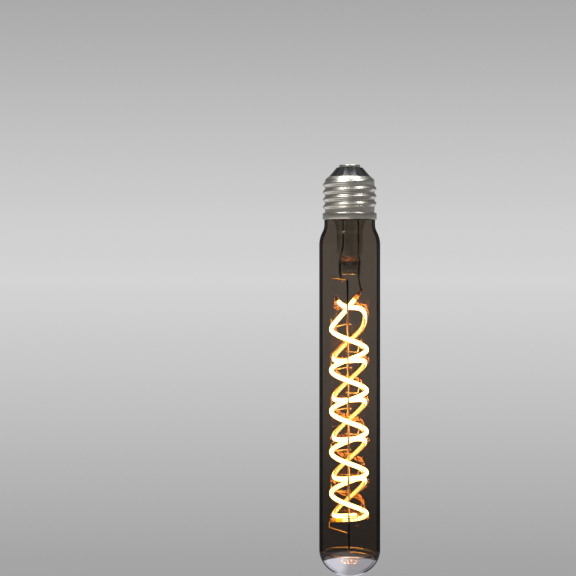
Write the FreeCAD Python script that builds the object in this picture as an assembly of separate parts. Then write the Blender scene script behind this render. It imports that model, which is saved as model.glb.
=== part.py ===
import FreeCAD, Part
import math
import os

V = FreeCAD.Vector

# Sizes are in millimetres. +Z is up, towards the cap's contact, and the lamp hangs
# tip down. The origin is on the axis, at the mouth of the screw cap.

# Glass bulb
bulb_d = 30.0
bulb_wall = 0.9
bulb_drop = 175.7
crown_over = 1.6
knuckle_x = 2.6
neck_straight = 2.4
shoulder_r = 13.5
neck_bend_r = 8.0
neck_taper_bottom = 1.0
neck_in_rim = 0.5
neck_in_shell = 0.7
neck_end_bottom = 5.2
neck_end_top = 8.4

# Glass stem: a flared tube, pressed flat at its lower end
stem_d = 12.5
stem_wall = 0.95
stem_flare_start = -6.0
stem_rim_height = 1.4
stem_straight_end = -15.6
stem_waist_d = 9.9
stem_waist_z = -18.4
stem_taper_end = -22.6
cavity_end = -19.8
press_w = 11.0
press_t = 4.8
press_shoulder = 2.4
press_bottom = -27.4
press_corner_r = 1.6
rib_z = (-23.1, -26.3)
rib_r = 1.0
rib_depth = 0.45
vent_d = 1.3
vent_z = -21.2

# Exhaust tube in the stem, drawn to a closed tip inside the cap
exhaust_d = 3.4
exhaust_bore = 2.0
exhaust_bottom = -22.2
exhaust_floor = 0.4
exhaust_below_board = 2.7
exhaust_taper = 2.6
exhaust_tip_d = 1.2
exhaust_seal = 1.5

# Lead wires, sealed in the press
lead_d = 0.84
lead_x = 4.3
left_lead_in_tube_x = 3.4
left_lead_bend_z = -12.0
lead_seal = 1.0
lead_out = 0.3
left_lead_end_x = 4.05
left_lead_past_bar = 1.7
weld_bead_d = 1.3
weld_gap = 0.06
lead_bend_r = 0.8

# Support rod, one wire: top bar, long upright, and the ring that centres it in the bulb
rod_d = 0.98
bar_left = -8.8
bar_z = -28.4
rod_bend_r = 1.9
rod_top_x = -0.2
rod_foot_x = -1.3
rod_foot_y = -3.0
ring_gap = 0.71
ring_x = -0.15
ring_below_side = 1.8
ring_tilt_back = 6.5
ring_tilt_side = 2.4
ring_turn = 330.0
ring_bend_r = 1.5

# Flat facets that stand for round wires and strands
wire_sag = 0.03
wire_turn_most = 25.0
rod_sides = 12
wire_sides = 8
bead_rings = 4

# Two flexible filaments, wound the same way round the rod
strand_w = 2.1
strand_t = 1.9
strand_steps = 18
strand_sides = 8
helix_x = -0.35
strip_w = 1.5
strip_t = 0.3

# Outer filament: a round left-hand helix
outer_to_glass = 5.45
outer_pitch = 20.2
outer_left_z = -54.04
outer_start = -0.335
outer_end = 4.884
outer_strip = 4.3
outer_rise = 95.0
outer_rise_turn = 0.25
outer_squeeze = 2.27
outer_squeeze_turn = 0.2
outer_flat_from = 4.58
outer_flat_to = 4.74
outer_flat_slope = 0.10

# Inner filament: a flatter helix behind the rod, its loops tipped
inner_inset = 1.05
inner_half_d = 2.5
inner_x = -0.07
inner_y = 2.95
inner_pitch = 19.36
inner_left_z = -68.4
inner_tip = 3.7
inner_start = -0.89
inner_end = 4.33
inner_strip = 2.2
inner_rise = 36.0
inner_rise_turn = 0.35
inner_crest = 3.4
inner_crest_turn = -0.6
inner_crest_half = 0.25
inner_level = 1.15
inner_level_from = 3.95
inner_level_over = 0.2

# Hooks of fine wire, welded to the rod
hook_d = 0.5
hook_count = 5
hook_gap = 0.2
hook_past_rod = 1.5
hook_toe = 0.6
rear_hook_turn = -0.105
rear_hook_bend = 1.2
rear_hook_level = 0.8
rear_hook_out = 0.9
rear_hook_rise = 2.1
front_hook_turn = 0.36
front_hook_short = 1.9
front_hook_level = 2.0
front_hook_rise = 2.6
front_hook_lean = 0.6

# Link wires of the filament circuit
link_d = 0.56
link_bend_r = 1.2
link_on_strip = 0.8
tail_outside = 1.55
tail_front = 1.6
tail_drop = 3.2
tail_weld_drop = 5.5
top_link_outside = 1.15
top_link_left = -3.6
top_link_right = 4.6
top_link_drop = 4.2
bottom_link_right = 3.4
bottom_link_drop = 1.6

# Screw cap: rolled shell, black glass insulator and centre contact
cap_length = 27.0
shell_wall = 0.3
shell_steps = 44
rim_over = 0.15
rim_height = 3.2
thread_major_d = 26.3
thread_depth = 0.95
thread_pitch = 3.629
thread_crest = 0.75
thread_foot = 2.9
thread_run_out = 1.2
thread_lead = 1.2
thread_thin = 0.1
shell_shoulder_drop = 7.4
shell_top_drop = 5.8
shell_top_in = 1.9
fit_gap = 0.1
contact_t = 1.4
insulator_top_d = 12.6
contact_d = 10.4
contact_edge = 0.4
contact_pin_d = 2.6
contact_pin_length = 6.0
cement_top = 6.6

# Driver board in the cap
board_gap = 2.7
board_t = 1.0
board_drop = 14.8
board_flat = 1.2
lead_above_board = 0.9
package_draft = 0.15
rectifier_size = (4.7, 3.8, 1.8)
rectifier_at = (-1.0, -5.2)
driver_chip_size = (3.9, 4.9, 1.5)
driver_chip_at = (4.9, -3.6)
chip_resistor_size = (2.0, 1.25, 0.5)
chip_resistor_1_at = (1.9, 1.9)
chip_resistor_2_at = (-1.0, 1.9)
capacitor_d = 4.4
capacitor_length = 7.0
capacitor_at = (-3.0, 5.2)
fuse_d = 2.2
fuse_length = 6.0
fuse_at = (-6.9, -3.0)
cap_wire_d = 0.6
contact_wire_at = (1.6, -1.6)
contact_wire_rise = 2.3
contact_wire_slant = 2.1
shell_wire_at = (8.2, 1.8)
shell_wire_rise = 0.8
shell_wire_top = 4.0

# Sizes and places that follow from those above
rim_d = thread_major_d + 2 * rim_over
thread_root_d = thread_major_d - 2 * thread_depth
shell_top_d = thread_root_d - 2 * shell_top_in
board_d = thread_root_d - 2 * (shell_wall + board_gap)
neck_d = rim_d - 2 * (shell_wall + neck_in_rim)
neck_end_d = thread_root_d - 2 * (shell_wall + neck_in_shell)
crown_r = bulb_d / 2 + crown_over
knuckle_r = bulb_d / 2 - knuckle_x
side_end_z = crown_r - bulb_drop - math.sqrt((crown_r - knuckle_r) ** 2 - knuckle_x ** 2)
ring_r = bulb_d / 2 - bulb_wall - ring_gap - rod_d / 2
ring_z = side_end_z - ring_below_side
outer_r = bulb_d / 2 - bulb_wall - outer_to_glass
inner_half_w = outer_r - inner_inset
shell_shoulder_z = cap_length - shell_shoulder_drop
shell_top_z = cap_length - shell_top_drop
insulator_top_z = cap_length - contact_t
thread_start_z = rim_height + thread_lead
thread_turns = math.floor((shell_shoulder_z - thread_start_z) / thread_pitch)
board_z = cap_length - board_drop
exhaust_top = board_z - exhaust_below_board

# Half the span, in turns, over which a filament's direction is taken
nudge = 0.002

# Four corners whose box holds less than this, in cubic millimetres, count as flat
flat_limit = 1e-7


def save(name, shape):
    shape.exportStep("parts/" + name + ".step")


def xz(x, z):
    return V(x, 0, z)


def line(a, b):
    return Part.makeLine(a, b)


def outline(*points):
    """Straight edges through the points, left open."""
    return [line(points[i], points[i + 1]) for i in range(len(points) - 1)]


def closed(*points):
    """A closed outline of straight edges."""
    return Part.makePolygon(list(points) + [points[0]])


def arc_about(centre, r, a0, a1):
    """An arc in the XZ plane about a centre, from one angle to another in degrees."""
    points = []
    for angle in (a0, (a0 + a1) / 2, a1):
        q = math.radians(angle)
        points.append(centre + V(r * math.cos(q), 0, r * math.sin(q)))
    return Part.Arc(*points).toShape()


def revolved(edges):
    """A full turn of a closed outline drawn in the XZ plane."""
    face = Part.Face(Part.Wire(Part.__sortEdges__(edges)))
    return face.revolve(V(0, 0, 0), V(0, 0, 1), 360)


def turned(*points):
    """A turned solid whose half section is a closed outline of straight edges."""
    return revolved(outline(*points, points[0]))


# Wires

def bent_path(points, radii):
    """Straight runs through the points, with a tangent arc of the given radius at each inner one."""
    edges = []
    start = points[0]
    for i in range(1, len(points) - 1):
        corner = points[i]
        back = (points[i - 1] - corner).normalize()
        on = (points[i + 1] - corner).normalize()
        half = back.getAngle(on) / 2
        cut = radii[i - 1] / math.tan(half)
        middle = (back + on).normalize()
        deep = corner + middle * (radii[i - 1] / math.sin(half) - radii[i - 1])
        edges.append(line(start, corner + back * cut))
        edges.append(Part.Arc(corner + back * cut, deep, corner + on * cut).toShape())
        start = corner + on * cut
    edges.append(line(start, points[-1]))
    return edges


def skin(sections):
    """A closed solid of flat facets over outlines that have equally many points."""
    edges = {}
    count = len(sections[0])

    def edge(a, b):
        key = (min(a, b), max(a, b))
        if key not in edges:
            (i, j), (m, n) = key
            edges[key] = line(sections[i][j], sections[m][n])
        return edges[key]

    def facet(corners):
        return Part.Face(Part.Wire([edge(corners[i - 1], corners[i]) for i in range(len(corners))]))

    faces = [facet([(i, k) for k in range(count)]) for i in (0, len(sections) - 1)]
    for i in range(len(sections) - 1):
        for k in range(count):
            corners = [(i, k), (i, (k + 1) % count), (i + 1, (k + 1) % count), (i + 1, k)]
            a, b, c, d = [sections[m][n] for m, n in corners]
            if abs((b - a).cross(d - a).dot(c - a)) < flat_limit:
                faces.append(facet(corners))
            else:
                faces += [facet(corners[:3]), facet(corners[2:] + corners[:1])]
    solid = Part.Solid(Part.Shell(faces))
    if solid.Volume < 0:
        solid.reverse()
    return solid


def stations(edges):
    """Places along a path of lines and arcs, close enough together to follow its arcs."""
    first = edges[0]
    found = [(first.valueAt(first.FirstParameter), first.tangentAt(first.FirstParameter))]
    for edge in edges:
        steps = 1
        if edge.Curve.TypeId != "Part::GeomLine":
            r = edge.Curve.Radius
            step = min(math.radians(wire_turn_most), 2 * math.acos(1 - wire_sag / max(r, wire_sag)))
            steps = math.ceil(edge.Length / r / step)
        for i in range(1, steps + 1):
            u = edge.FirstParameter + (edge.LastParameter - edge.FirstParameter) * i / steps
            found.append((edge.valueAt(u), edge.tangentAt(u)))
    return found


def faceted_wire(places, radii, sides):
    """A wire of flats through its places, its outline turned as little as it can be on the way.
    Each outline has the area of the round one."""
    grow = math.sqrt(2 * math.pi / sides / math.sin(2 * math.pi / sides))
    side = V(0, 1, 0)
    if abs(places[0][1].y) > 0.9:
        side = V(1, 0, 0)
    sections = []
    for (point, along), r in zip(places, radii):
        side = (side - along * side.dot(along)).normalize()
        other = along.cross(side)
        corners = []
        for k in range(sides):
            angle = 2 * math.pi * (k + 0.5) / sides
            corners.append(point + side * (grow * r * math.cos(angle)) + other * (grow * r * math.sin(angle)))
        sections.append(corners)
    return skin(sections)


def wire(edges, d, sides):
    places = stations(edges)
    return faceted_wire(places, [d / 2] * len(places), sides)


def bent(points, d, radius):
    return wire(bent_path(points, [radius] * (len(points) - 2)), d, wire_sides)


def kinked(points, d):
    """A fine wire with sharp, mitred bends."""
    along = (points[1] - points[0]).normalize()
    side = along.cross(V(0, 0, 1) if abs(along.z) < 0.9 else V(1, 0, 0)).normalize()
    other = along.cross(side)
    corners = []
    for k in range(wire_sides):
        angle = 2 * math.pi * (k + 0.5) / wire_sides
        corners.append(points[0] + side * (d / 2 * math.cos(angle)) + other * (d / 2 * math.sin(angle)))
    return Part.makePolygon(points).makePipeShell([closed(*corners)], True, False, 1)


# Places along the wound pieces

def outer_place(turn):
    """The outer filament's middle: turn 0 is its first left-hand reach, and it goes down in front."""
    a = 2 * math.pi * turn
    z = outer_left_z - outer_pitch * min(turn, outer_flat_from)
    if turn > outer_flat_from:
        ease = min(turn, outer_flat_to) - outer_flat_from
        slow = (1 - outer_flat_slope) / (outer_flat_to - outer_flat_from)
        z -= outer_pitch * (ease - slow * ease * ease / 2)
        z -= outer_pitch * outer_flat_slope * max(0, turn - outer_flat_to)
    curved = min(max(0, -turn), outer_rise_turn)
    z += outer_rise * curved * curved
    z += 2 * outer_rise * outer_rise_turn * max(0, -turn - outer_rise_turn)
    depth = 1 - outer_squeeze * max(0, -turn - outer_squeeze_turn)
    return V(helix_x - outer_r * math.cos(a), -depth * outer_r * math.sin(a), z)


def inner_place(turn):
    """The inner filament's middle: turn 0 is its first full left-hand reach."""
    a = 2 * math.pi * turn
    over = max(0, -turn - inner_rise_turn)
    z = inner_left_z - inner_pitch * turn + inner_tip * (1 - math.cos(a)) + inner_rise * over * over
    near = min(abs(turn - inner_crest_turn) / inner_crest_half, 1)
    z += inner_crest * (1 + math.cos(math.pi * near)) / 2
    ease = min(max(0, turn - inner_level_from) / inner_level_over, 1)
    z += inner_level * (1 - math.cos(math.pi * ease)) / 2
    return V(inner_x - inner_half_w * math.cos(a), inner_y - inner_half_d * math.sin(a), z)


def strand_axes(place, turn):
    """Along a filament, level across it, and up its side."""
    along = (place(turn + nudge) - place(turn - nudge)).normalize()
    across = V(0, 0, 1).cross(along).normalize()
    return along, across, along.cross(across)


def strip_point(place, turn, reach, wire_d, towards):
    """The middle of a wire welded on a filament's end strip, some way along the strip.
    It lies on the side that faces a point."""
    along, across, up = strand_axes(place, turn)
    middle = place(turn) + along * reach
    if across.dot(towards - middle) < 0:
        across = across * -1
    return middle + across * ((strip_t + wire_d) / 2 + weld_gap)


def ring_frame():
    """The ring's centre and its two directions: to the right, and away to the back."""
    side = math.radians(ring_tilt_side)
    back = math.radians(ring_tilt_back)
    right = V(math.cos(side), 0, -math.sin(side))
    away = V(0, math.cos(back), math.sin(back))
    return V(ring_x, 0, ring_z), right, away


rod_y = -(lead_d + rod_d) / 2 - weld_gap
rod_top = V(rod_top_x, rod_y, bar_z)


def rod_foot():
    """Where the upright meets the ring's plane."""
    centre, right, away = ring_frame()
    return centre + right * (rod_foot_x - ring_x) + away * rod_foot_y


def rod_at(z):
    """The middle of the upright at a height."""
    foot = rod_foot()
    return rod_top + (foot - rod_top) * ((rod_top.z - z) / (rod_top.z - foot.z))


# Glass

def bulb_side(inset):
    """One face of the bulb's wall, from the neck's end to the tip. The inset is 0 on the
    outer face and the wall's thickness on the inner one. The shoulder is two arcs, and
    they turn the other way in a bulb that is narrower than its neck."""
    side = bulb_d / 2 - inset
    neck = neck_d / 2 - inset
    end = neck_end_d / 2 - inset
    both = shoulder_r + neck_bend_r
    lean = math.degrees(math.acos(1 - abs(bulb_d - neck_d) / 2 / both))
    way = math.copysign(1, bulb_d - neck_d)
    low = -neck_straight - both * math.sin(math.radians(lean))
    crown_z = crown_r - bulb_drop
    meet = math.degrees(math.atan2(side_end_z - crown_z, knuckle_x))
    edges = outline(xz(end, neck_end_top), xz(end, neck_end_bottom), xz(neck, neck_taper_bottom),
                    xz(neck, -neck_straight))
    edges.append(arc_about(xz(neck_d / 2 + way * neck_bend_r, -neck_straight), neck_bend_r + way * inset,
                           90 + way * 90, 90 + way * (90 + lean)))
    edges.append(arc_about(xz(bulb_d / 2 - way * shoulder_r, low), shoulder_r - way * inset,
                           90 - way * (90 - lean), 90 - way * 90))
    edges.append(line(xz(side, low), xz(side, side_end_z)))
    edges.append(arc_about(xz(knuckle_x, side_end_z), knuckle_r - inset, 0, meet))
    edges.append(arc_about(xz(0, crown_z), crown_r - inset, meet, -90))
    return edges


def glass_bulb():
    end = neck_end_d / 2
    rim = line(xz(end, neck_end_top), xz(end - bulb_wall, neck_end_top))
    tip = line(xz(0, -bulb_drop), xz(0, bulb_wall - bulb_drop))
    return revolved(bulb_side(0) + bulb_side(bulb_wall) + [rim, tip])


def stem_tube():
    """The flared tube and its taper, before the lower end is pressed."""
    r = stem_d / 2
    bore = r - stem_wall
    rim = neck_end_d / 2 - bulb_wall
    waist = stem_waist_d / 2
    thin = press_t / 2 - rib_depth
    return turned(xz(rim, neck_end_top), xz(rim, neck_end_top - stem_rim_height), xz(r, stem_flare_start),
                  xz(r, stem_straight_end), xz(waist, stem_waist_z), xz(thin, stem_taper_end),
                  xz(0, stem_taper_end), xz(0, cavity_end), xz(exhaust_d, cavity_end),
                  xz(bore, stem_straight_end), xz(bore, stem_flare_start), xz(rim - stem_wall, neck_end_top))


def stem_press():
    """The flat pinch: a rounded front outline, cut to a side outline with two ribs."""
    w = press_w / 2
    t = press_t / 2 - rib_depth
    narrow = stem_waist_d / 2 - stem_wall
    corner = w - press_corner_r
    low = press_bottom + press_corner_r
    front = outline(xz(-corner, press_bottom), xz(corner, press_bottom))
    front.append(arc_about(xz(corner, low), press_corner_r, -90, 0))
    front += outline(xz(w, low), xz(w, stem_waist_z - press_shoulder), xz(narrow, stem_waist_z),
                     xz(-narrow, stem_waist_z), xz(-w, stem_waist_z - press_shoulder), xz(-w, low))
    front.append(arc_about(xz(-corner, low), press_corner_r, 180, 270))
    face = Part.Face(Part.Wire(Part.__sortEdges__(front)))
    plate = face.extrude(V(0, 2 * t, 0))
    plate.translate(V(0, -t, 0))
    for z in rib_z:
        for side in (1, -1):
            rib = Part.makeCylinder(rib_r, press_w, V(-w, side * (press_t / 2 - rib_r), z), V(1, 0, 0))
            plate = plate.fuse(rib)
    block = face.extrude(V(0, 2 * press_t, 0))
    block.translate(V(0, -press_t, 0))
    return plate.common(block)


def vent():
    """The small hole that lets the exhaust tube's bore into the bulb."""
    return Part.makeCylinder(vent_d / 2, press_t, V(0, 0, vent_z), V(0, -1, 0))


def exhaust_solid():
    """The exhaust tube's full outer form, tapering to its sealed tip."""
    r = exhaust_d / 2
    tip = exhaust_tip_d / 2
    return turned(xz(0, exhaust_bottom), xz(r, exhaust_bottom), xz(r, exhaust_top - exhaust_taper),
                  xz(tip, exhaust_top), xz(0, exhaust_top))


def exhaust_tube():
    bore = exhaust_bore / 2
    inside = turned(xz(0, exhaust_bottom + exhaust_floor), xz(bore, exhaust_bottom + exhaust_floor),
                    xz(bore, exhaust_top - exhaust_taper), xz(0, exhaust_top - exhaust_seal))
    return exhaust_solid().cut(inside).cut(vent())


def glass_stem(leads):
    pressed = stem_tube().fuse(stem_press()).removeSplitter()
    for tool in [exhaust_solid(), vent()] + leads:
        pressed = pressed.cut(tool)
    return pressed


# Wires in the bulb

def left_lead():
    """From the driver board, down the stem's tube, out through the press and behind the rod's bar,
    where it ends in a weld bead."""
    top = board_z + board_t + lead_above_board
    end = V(-left_lead_end_x, 0, bar_z - left_lead_past_bar)
    points = [V(-left_lead_in_tube_x, 0, top), V(-left_lead_in_tube_x, 0, left_lead_bend_z),
              V(-lead_x, 0, cavity_end + lead_seal), V(-lead_x, 0, press_bottom - lead_out), end]
    places = stations(bent_path(points, [lead_bend_r] * 3))[:-1]
    radii = [lead_d / 2] * len(places)
    along = places[-1][1]
    bead = weld_bead_d / 2
    first = math.asin(lead_d / weld_bead_d)
    for k in range(bead_rings + 1):
        angle = first + (math.pi - 2 * first) * k / bead_rings
        places.append((end - along * (bead * math.cos(angle)), along))
        radii.append(bead * math.sin(angle))
    return faceted_wire(places, radii, wire_sides)


def right_lead():
    """From the driver board, out through the press and slanting to the outer filament's strip."""
    top = board_z + board_t + lead_above_board
    out = V(lead_x, 0, press_bottom - lead_out)
    end = strip_point(outer_place, outer_start, link_on_strip - outer_strip, lead_d, out)
    return bent([V(lead_x, 0, top), out, end], lead_d, lead_bend_r)


def support_rod():
    centre, right, away = ring_frame()
    inner = ring_r - ring_bend_r
    across = rod_foot_y + ring_bend_r
    reach = math.sqrt(inner ** 2 - across ** 2)
    turn = math.atan2(across, reach)

    def place(x, y):
        return centre + right * x + away * y

    def on_ring(angle):
        return place(ring_r * math.cos(angle), ring_r * math.sin(angle))

    edges = bent_path([V(bar_left, rod_y, bar_z), rod_top, rod_foot(), place(reach, rod_foot_y)],
                      [rod_bend_r, rod_bend_r])
    half = (turn - math.pi / 2) / 2
    knee = place(reach + ring_bend_r * math.cos(half), across + ring_bend_r * math.sin(half))
    full = math.radians(ring_turn)
    edges.append(Part.Arc(place(reach, rod_foot_y), knee, on_ring(turn)).toShape())
    edges.append(Part.Arc(on_ring(turn), on_ring(turn + full / 2), on_ring(turn + full)).toShape())
    return wire(edges, rod_d, rod_sides)


def hook_clearance():
    """From a filament's middle to the middle of a hook that carries it."""
    return strand_w / 2 / math.cos(math.pi / strand_sides) + hook_d / 2 + hook_gap


def rear_hook(number):
    """A hook that carries the outer filament at its back left, its tip standing outside."""
    held = outer_place(number + rear_hook_turn)
    out = V(held.x - helix_x, held.y, 0).normalize()
    clear = hook_clearance()
    below = V(held.x, held.y, held.z - clear)
    side = rod_at(below.z + rear_hook_level) + V(0, (rod_d + hook_d) / 2 + weld_gap, 0)
    tip = held + out * (clear + rear_hook_out) + V(0, 0, rear_hook_rise)
    return kinked([side + V(hook_past_rod, 0, 0), side - V(rear_hook_bend, 0, 0), below - out * hook_toe,
                   below + out * clear, tip], hook_d)


def front_hook(number):
    """A hook that carries the outer filament at its front right, its tip standing above."""
    held = outer_place(number + front_hook_turn)
    out = V(held.x - helix_x, held.y, 0).normalize()
    clear = hook_clearance()
    below = V(held.x, held.y, held.z - clear)
    side = rod_at(below.z - front_hook_level) - V(0, (rod_d + hook_d) / 2 + weld_gap, 0)
    tip = held + out * clear + V(-front_hook_lean, 0, front_hook_rise)
    bend = V(held.x - front_hook_short, side.y, side.z)
    return kinked([side - V(hook_past_rod, 0, 0), bend, below - out * hook_toe, below + out * clear, tip],
                  hook_d)


def rod_link():
    """The bare wire from the outer filament's lower strip round the left to the rod."""
    behind = V(helix_x, bulb_d, ring_z)
    start = strip_point(outer_place, outer_end, outer_strip / 2, link_d, behind)
    near = strip_point(outer_place, outer_end, outer_strip, link_d, behind)
    weld = rod_at(near.z - tail_weld_drop) + V(0, (rod_d + link_d) / 2 + weld_gap, 0)
    left = -outer_r - tail_outside
    points = [start, V(left, near.y, near.z), V(left, tail_front, near.z - tail_drop), weld]
    return bent(points, link_d, link_bend_r)


def inner_top_link():
    """The wire that joins the inner filament's upper strip to the right-hand lead, behind the strands."""
    behind = V(helix_x, bulb_d, bar_z)
    start = strip_point(inner_place, inner_start, -inner_strip / 2, link_d, behind)
    end = strip_point(outer_place, outer_start, link_on_strip - outer_strip, link_d, behind)
    back = outer_r + top_link_outside
    points = [start, V(top_link_left, back, start.z - top_link_drop),
              V(top_link_right, back, end.z - top_link_drop), end]
    return bent(points, link_d, link_bend_r)


def inner_bottom_link():
    """The wire that joins the inner filament's lower strip to the rod."""
    front = V(helix_x, -bulb_d, ring_z)
    start = strip_point(inner_place, inner_end, inner_strip / 2, link_d, front)
    weld = rod_at(start.z - bottom_link_drop) + V(0, (rod_d + link_d) / 2 + weld_gap, 0)
    points = [start, V(bottom_link_right, (start.y + weld.y) / 2, weld.z), weld]
    return bent(points, link_d, link_bend_r)


# Filaments

def strand_section(place, turn):
    """A many-sided outline across a filament, its width as near upright as it can stand."""
    along, across, up = strand_axes(place, turn)
    grow = 1 / math.cos(math.pi / strand_sides)
    corners = []
    for k in range(strand_sides):
        a = 2 * math.pi * (k + 0.5) / strand_sides
        x = grow * math.cos(a) * strand_t / 2
        y = grow * math.sin(a) * strand_w / 2
        corners.append(place(turn) + across * x + up * y)
    return corners


def strand(place, start, end):
    """A filament along its place, from one turn number to another."""
    count = max(2, math.ceil((end - start) * strand_steps))
    step = (end - start) / count
    return skin([strand_section(place, start + i * step) for i in range(count + 1)])


def end_strip(place, turn, reach):
    """A filament's flat metal end; the reach is negative at its upper end."""
    along, across, up = strand_axes(place, turn)
    corners = []
    for x, y in ((-1, -1), (1, -1), (1, 1), (-1, 1)):
        corners.append(place(turn) + across * (x * strip_t / 2) + up * (y * strip_w / 2))
    return Part.Face(closed(*corners)).extrude(along * reach)


# Screw cap

def shell_section(turn):
    """The shell's wall above its rim, cut at one angle, with the rolled thread at its height there."""
    root = thread_root_d / 2
    top = shell_top_d / 2
    last = thread_start_z + thread_pitch * thread_turns
    ridges = []
    for k in range(thread_turns):
        z = thread_start_z + thread_pitch * (k + turn)
        fade = max(0, min(1, (z - thread_start_z) / thread_run_out, (last - z) / thread_run_out))
        crest = root + fade * (thread_major_d - thread_root_d) / 2
        foot = thread_crest / 2 + max(fade, thread_thin) * (thread_foot - thread_crest) / 2
        ridges += [(root, z - foot), (crest, z - thread_crest / 2)]
        ridges += [(crest, z + thread_crest / 2), (root, z + foot)]
    half = shell_wall / 2
    outer = [(root, rim_height - half)] + ridges + [(root, shell_shoulder_z), (top, shell_top_z)]
    inner = [(root - shell_wall, rim_height - half)] + [(r - shell_wall, z) for r, z in ridges]
    inner += [(root - shell_wall, shell_shoulder_z - half), (top - shell_wall, shell_top_z)]
    angle = 2 * math.pi * turn
    return [V(r * math.cos(angle), r * math.sin(angle), z) for r, z in outer + inner[::-1]]


def screw_shell():
    """The round rim with its ledge, and two half turns of threaded wall that stand in the ledge."""
    rim = rim_d / 2
    ledge = (thread_root_d - shell_wall) / 2
    low = rim_height - shell_wall
    shell = turned(xz(rim - shell_wall, 0), xz(rim, 0), xz(rim, rim_height), xz(ledge, rim_height),
                   xz(ledge, low), xz(rim - shell_wall, low))
    half = shell_steps // 2
    for start in (0, half):
        shell = shell.fuse(skin([shell_section((start + i) / shell_steps) for i in range(half + 1)]))
    return shell


def cap_insulator():
    low = shell_top_d / 2 - shell_wall - fit_gap
    wide = thread_root_d / 2 - shell_wall - fit_gap
    pin = contact_pin_d / 2
    floor = shell_shoulder_z - shell_wall
    return turned(xz(pin, floor), xz(wide, floor), xz(low, shell_top_z - shell_wall), xz(low, shell_top_z),
                  xz(insulator_top_d / 2, insulator_top_z), xz(pin, insulator_top_z))


def centre_contact():
    r = contact_d / 2
    pin = contact_pin_d / 2
    low = cap_length - contact_pin_length
    return turned(xz(0, low), xz(pin, low), xz(pin, insulator_top_z), xz(r, insulator_top_z),
                  xz(r, cap_length - contact_edge), xz(r - contact_edge, cap_length), xz(0, cap_length))


def basing_cement():
    """The ring of cement that bonds the bulb's neck into the cap."""
    rim = rim_d / 2 - shell_wall - fit_gap
    root = thread_root_d / 2 - shell_wall - fit_gap
    low = rim_height - shell_wall - fit_gap
    return turned(xz(neck_d / 2, neck_taper_bottom), xz(rim, neck_taper_bottom), xz(rim, low), xz(root, low),
                  xz(root, cement_top), xz(neck_end_d / 2, cement_top), xz(neck_end_d / 2, neck_end_bottom))


# Driver

def driver_board(leads):
    disc = Part.makeCylinder(board_d / 2, board_t, V(0, 0, board_z))
    keep = board_d / 2 - board_flat
    slab = Part.makeBox(board_d, 2 * keep, board_t, V(-board_d / 2, -keep, board_z))
    board = disc.common(slab)
    for lead in leads:
        board = board.cut(lead)
    return board


def package(size, at):
    """A moulded package that stands on the board, its sides drafted."""
    z = board_z + board_t
    sections = []
    for inset, height in ((0, z), (package_draft, z + size[2])):
        x = size[0] / 2 - inset
        y = size[1] / 2 - inset
        corners = [V(at[0] + i * x, at[1] + j * y, height) for i, j in ((-1, -1), (1, -1), (1, 1), (-1, 1))]
        sections.append(closed(*corners))
    return Part.makeLoft(sections, True, True)


def lying_can(d, length, at, along):
    """A round part that lies on the board."""
    return Part.makeCylinder(d / 2, length, V(at[0], at[1], board_z + board_t + d / 2), along)


def contact_wire():
    """From the board up to the centre contact's pin."""
    z = board_z + board_t
    x, y = contact_wire_at
    top = cap_length - contact_pin_length
    return kinked([V(x, y, z), V(x, y, z + contact_wire_rise),
                   V(0, 0, z + contact_wire_rise + contact_wire_slant), V(0, 0, top)], cap_wire_d)


def shell_wire():
    """From the board's edge up the inside of the shell."""
    z = board_z + board_t
    x, y = shell_wire_at
    wall = thread_root_d / 2 - shell_wall - cap_wire_d / 2 - fit_gap
    grow = wall / math.hypot(x, y)
    return kinked([V(x, y, z), V(x, y, z + shell_wire_rise), V(x * grow, y * grow, z + 2 * shell_wire_rise),
                   V(x * grow, y * grow, z + shell_wire_top)], cap_wire_d)


os.makedirs("parts", exist_ok=True)

leads = [left_lead(), right_lead()]

save("glass_bulb", glass_bulb())
save("glass_stem", glass_stem(leads))
save("exhaust_tube", exhaust_tube())
save("lead_wire_left", leads[0])
save("lead_wire_right", leads[1])
save("support_rod", support_rod())
for number in range(hook_count):
    save("rear_hook_%d" % (number + 1), rear_hook(number))
    save("front_hook_%d" % (number + 1), front_hook(number))
save("outer_filament", strand(outer_place, outer_start, outer_end))
save("inner_filament", strand(inner_place, inner_start, inner_end))
save("outer_top_tab", end_strip(outer_place, outer_start, -outer_strip))
save("outer_bottom_tab", end_strip(outer_place, outer_end, outer_strip))
save("inner_top_tab", end_strip(inner_place, inner_start, -inner_strip))
save("inner_bottom_tab", end_strip(inner_place, inner_end, inner_strip))
save("rod_link_wire", rod_link())
save("inner_top_link", inner_top_link())
save("inner_bottom_link", inner_bottom_link())
save("screw_shell", screw_shell())
save("cap_insulator", cap_insulator())
save("centre_contact", centre_contact())
save("basing_cement", basing_cement())
save("driver_board", driver_board(leads))
save("rectifier", package(rectifier_size, rectifier_at))
save("driver_chip", package(driver_chip_size, driver_chip_at))
save("chip_resistor_1", package(chip_resistor_size, chip_resistor_1_at))
save("chip_resistor_2", package(chip_resistor_size, chip_resistor_2_at))
save("capacitor", lying_can(capacitor_d, capacitor_length, capacitor_at, V(1, 0, 0)))
save("fuse_resistor", lying_can(fuse_d, fuse_length, fuse_at, V(0, 1, 0)))
save("contact_wire", contact_wire())
save("shell_wire", shell_wire())
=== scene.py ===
import math

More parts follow.
